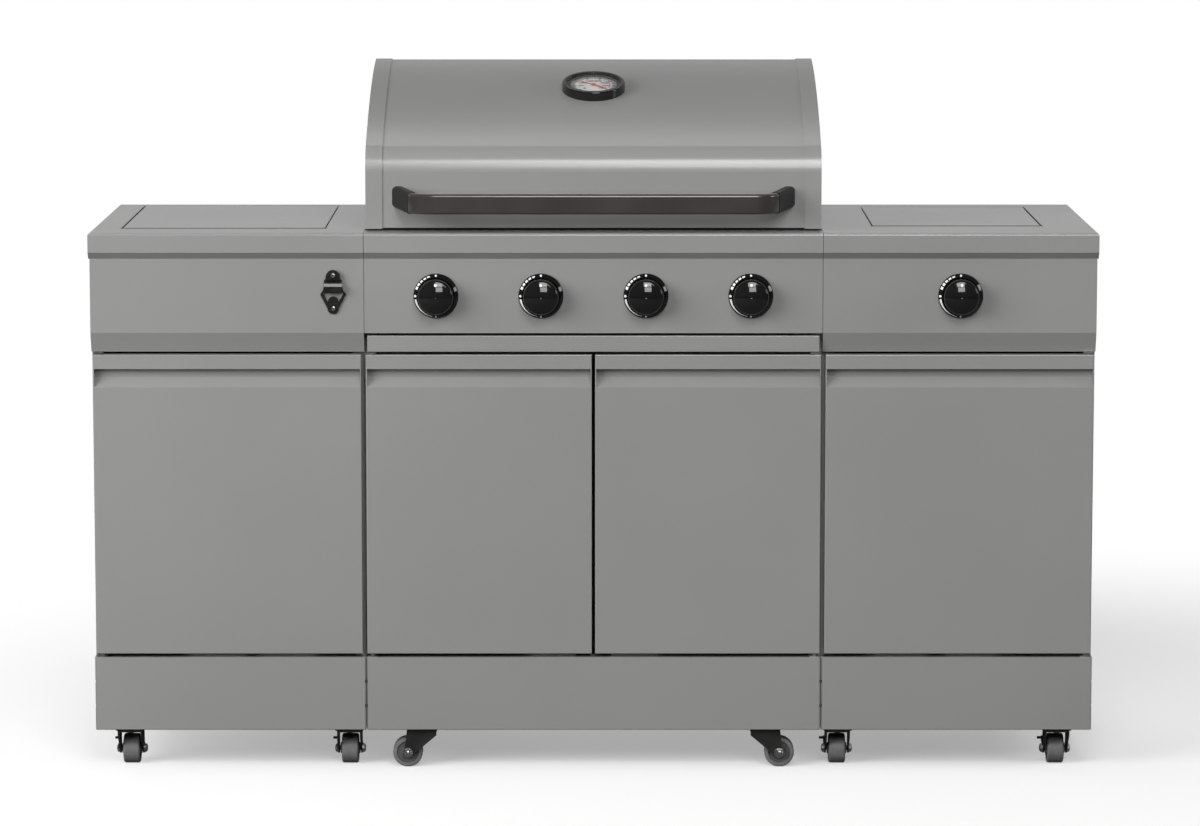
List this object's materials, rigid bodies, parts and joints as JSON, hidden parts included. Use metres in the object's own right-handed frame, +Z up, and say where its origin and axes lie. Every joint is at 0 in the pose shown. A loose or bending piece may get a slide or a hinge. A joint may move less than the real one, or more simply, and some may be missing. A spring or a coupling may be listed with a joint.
{
  "type": "barbecue island",
  "caption": "Outdoor kitchen island in grey steel: a hooded gas grill cabinet between two side cabinets with lidded worktops, doors, control knobs and a grease tray, on casters.",
  "frame": {"origin": "on the floor under the middle of the island's overall box", "axes": "+X along the island to the right of a person at the grill, +Y to the back, +Z up"},
  "size_m": [1.68, 0.576, 1.1697],
  "materials": {
    "grey_paint": "satin powder coat",
    "stainless_steel": "brushed",
    "chromed_wire": "bright",
    "black_enamel": "semi-gloss enamel",
    "cast_iron": "matte",
    "plated_steel": "zinc plated",
    "gloss_black": "high gloss",
    "black_plastic": "matte",
    "bronze_paint": "satin",
    "clear_glass": "clear",
    "red_paint": "matte",
    "black_steel": "satin",
    "wheel_rubber": "matte"
  },
  "bodies": {
    "island": {"left_base_pan": "grey_paint", "grill_base_pan": "grey_paint", "right_base_pan": "grey_paint", "left_cabinet_wrap": "grey_paint", "grill_cabinet_wrap": "grey_paint", "right_cabinet_wrap": "grey_paint", "left_fascia": "grey_paint", "control_panel": "grey_paint", "right_fascia": "grey_paint", "left_worktop": "grey_paint", "right_worktop": "grey_paint", "ice_tub": "stainless_steel", "burner_tubes": "stainless_steel", "flame_tamers": "stainless_steel", "warming_rack": "chromed_wire", "firebox": "black_enamel", "side_burner_pan": "black_enamel", "cooking_grates": "cast_iron", "side_burner": "cast_iron", "bottle_opener": "cast_iron", "gas_manifold": "plated_steel", "door_hinges": "plated_steel", "hood_hinges": "plated_steel", "knob_bezels": "gloss_black", "caster_mounts": "black_steel"},
    "hood": {"hood_skin": "grey_paint", "hood_left_cap": "grey_paint", "hood_right_cap": "grey_paint", "handle_bar": "bronze_paint", "handle_posts": "black_plastic", "thermometer_case": "black_plastic", "thermometer_lens": "clear_glass"},
    "needle": {"thermometer_needle": "red_paint"},
    "left_lid": {"left_lid": "grey_paint"},
    "right_lid": {"right_lid": "grey_paint"},
    "left_door": {"left_door": "grey_paint"},
    "grill_left_door": {"grill_left_door": "grey_paint"},
    "grill_right_door": {"grill_right_door": "grey_paint"},
    "right_door": {"right_door": "grey_paint"},
    "grease_tray": {"grease_tray": "grey_paint"},
    "burner_knob_1": {"burner_knob_1": "gloss_black"},
    "burner_knob_2": {"burner_knob_2": "gloss_black"},
    "burner_knob_3": {"burner_knob_3": "gloss_black"},
    "burner_knob_4": {"burner_knob_4": "gloss_black"},
    "side_burner_knob": {"side_burner_knob": "gloss_black"},
    "caster_fork_1": {"caster_fork_1": "black_steel"},
    "caster_fork_2": {"caster_fork_2": "black_steel"},
    "caster_fork_3": {"caster_fork_3": "black_steel"},
    "caster_fork_4": {"caster_fork_4": "black_steel"},
    "caster_fork_5": {"caster_fork_5": "black_steel"},
    "caster_fork_6": {"caster_fork_6": "black_steel"},
    "caster_wheel_1": {"caster_wheel_1": "wheel_rubber"},
    "caster_wheel_2": {"caster_wheel_2": "wheel_rubber"},
    "caster_wheel_3": {"caster_wheel_3": "wheel_rubber"},
    "caster_wheel_4": {"caster_wheel_4": "wheel_rubber"},
    "caster_wheel_5": {"caster_wheel_5": "wheel_rubber"},
    "caster_wheel_6": {"caster_wheel_6": "wheel_rubber"},
    "rear_wheels_left": {"rear_wheels_left": "wheel_rubber"},
    "rear_wheels_grill": {"rear_wheels_grill": "wheel_rubber"},
    "rear_wheels_right": {"rear_wheels_right": "wheel_rubber"}
  },
  "joints": [
    {"name": "hood_hinge", "type": "hinge", "parent": "island", "child": "hood", "pos_m": [0, 0.196, 0.937], "axis": [-1, 0, 0], "range_deg": [0, 80]},
    {"name": "thermometer_needle_turn", "type": "hinge", "parent": "hood", "child": "needle", "pos_m": [0, 0.011, 1.12825], "axis": [0, 0.2861, -0.9582], "range_deg": [-84, 186]},
    {"name": "left_lid_hinge", "type": "hinge", "parent": "island", "child": "left_lid", "pos_m": [-0.621, 0.262, 0.902], "axis": [-1, 0, 0], "range_deg": [0, 95]},
    {"name": "right_lid_hinge", "type": "hinge", "parent": "island", "child": "right_lid", "pos_m": [0.613, 0.234, 0.902], "axis": [-1, 0, 0], "range_deg": [0, 95]},
    {"name": "left_door_hinge", "type": "hinge", "parent": "island", "child": "left_door", "pos_m": [-0.826, -0.241, 0.45], "axis": [0, 0, -1], "range_deg": [0, 110]},
    {"name": "grill_left_door_hinge", "type": "hinge", "parent": "island", "child": "grill_left_door", "pos_m": [-0.371, -0.241, 0.45], "axis": [0, 0, -1], "range_deg": [0, 110]},
    {"name": "grill_right_door_hinge", "type": "hinge", "parent": "island", "child": "grill_right_door", "pos_m": [0.371, -0.241, 0.45], "axis": [0, 0, 1], "range_deg": [0, 110]},
    {"name": "right_door_hinge", "type": "hinge", "parent": "island", "child": "right_door", "pos_m": [0.826, -0.241, 0.45], "axis": [0, 0, 1], "range_deg": [0, 110]},
    {"name": "grease_tray_slide", "type": "slide", "parent": "island", "child": "grease_tray", "axis": [0, -1, 0], "range_m": [0, 0.28]},
    {"name": "burner_knob_1_turn", "type": "hinge", "parent": "island", "child": "burner_knob_1", "pos_m": [-0.26205, -0.252, 0.802], "axis": [0, -1, 0], "range_deg": [0, 180]},
    {"name": "burner_knob_2_turn", "type": "hinge", "parent": "island", "child": "burner_knob_2", "pos_m": [-0.08735, -0.252, 0.802], "axis": [0, -1, 0], "range_deg": [0, 180]},
    {"name": "burner_knob_3_turn", "type": "hinge", "parent": "island", "child": "burner_knob_3", "pos_m": [0.08735, -0.252, 0.802], "axis": [0, -1, 0], "range_deg": [0, 180]},
    {"name": "burner_knob_4_turn", "type": "hinge", "parent": "island", "child": "burner_knob_4", "pos_m": [0.26205, -0.252, 0.802], "axis": [0, -1, 0], "range_deg": [0, 180]},
    {"name": "side_burner_knob_turn", "type": "hinge", "parent": "island", "child": "side_burner_knob", "pos_m": [0.611, -0.252, 0.802], "axis": [0, -1, 0], "range_deg": [0, 180]},
    {"name": "caster_1_swivel", "type": "hinge", "parent": "island", "child": "caster_fork_1", "pos_m": [-0.782, -0.217, 0.063], "axis": [0, 0, 1], "continuous": true},
    {"name": "caster_1_wheel", "type": "hinge", "parent": "caster_fork_1", "child": "caster_wheel_1", "pos_m": [-0.782, -0.1915, 0.025], "axis": [1, 0, 0], "continuous": true},
    {"name": "caster_2_swivel", "type": "hinge", "parent": "island", "child": "caster_fork_2", "pos_m": [-0.412, -0.217, 0.063], "axis": [0, 0, 1], "continuous": true},
    {"name": "caster_2_wheel", "type": "hinge", "parent": "caster_fork_2", "child": "caster_wheel_2", "pos_m": [-0.412, -0.1915, 0.025], "axis": [1, 0, 0], "continuous": true},
    {"name": "caster_3_swivel", "type": "hinge", "parent": "island", "child": "caster_fork_3", "pos_m": [-0.288, -0.217, 0.063], "axis": [0, 0, 1], "continuous": true},
    {"name": "caster_3_wheel", "type": "hinge", "parent": "caster_fork_3", "child": "caster_wheel_3", "pos_m": [-0.3135, -0.217, 0.025], "axis": [0, 1, 0], "continuous": true},
    {"name": "caster_4_swivel", "type": "hinge", "parent": "island", "child": "caster_fork_4", "pos_m": [0.288, -0.217, 0.063], "axis": [0, 0, 1], "continuous": true},
    {"name": "caster_4_wheel", "type": "hinge", "parent": "caster_fork_4", "child": "caster_wheel_4", "pos_m": [0.3135, -0.217, 0.025], "axis": [0, 1, 0], "continuous": true},
    {"name": "caster_5_swivel", "type": "hinge", "parent": "island", "child": "caster_fork_5", "pos_m": [0.412, -0.217, 0.063], "axis": [0, 0, 1], "continuous": true},
    {"name": "caster_5_wheel", "type": "hinge", "parent": "caster_fork_5", "child": "caster_wheel_5", "pos_m": [0.412, -0.1915, 0.025], "axis": [1, 0, 0], "continuous": true},
    {"name": "caster_6_swivel", "type": "hinge", "parent": "island", "child": "caster_fork_6", "pos_m": [0.782, -0.217, 0.063], "axis": [0, 0, 1], "continuous": true},
    {"name": "caster_6_wheel", "type": "hinge", "parent": "caster_fork_6", "child": "caster_wheel_6", "pos_m": [0.782, -0.1915, 0.025], "axis": [1, 0, 0], "continuous": true},
    {"name": "rear_wheels_left_axle", "type": "hinge", "parent": "island", "child": "rear_wheels_left", "pos_m": [-0.597, 0.23, 0.025], "axis": [1, 0, 0], "continuous": true},
    {"name": "rear_wheels_grill_axle", "type": "hinge", "parent": "island", "child": "rear_wheels_grill", "pos_m": [0, 0.23, 0.025], "axis": [1, 0, 0], "continuous": true},
    {"name": "rear_wheels_right_axle", "type": "hinge", "parent": "island", "child": "rear_wheels_right", "pos_m": [0.597, 0.23, 0.025], "axis": [1, 0, 0], "continuous": true}
  ]
}
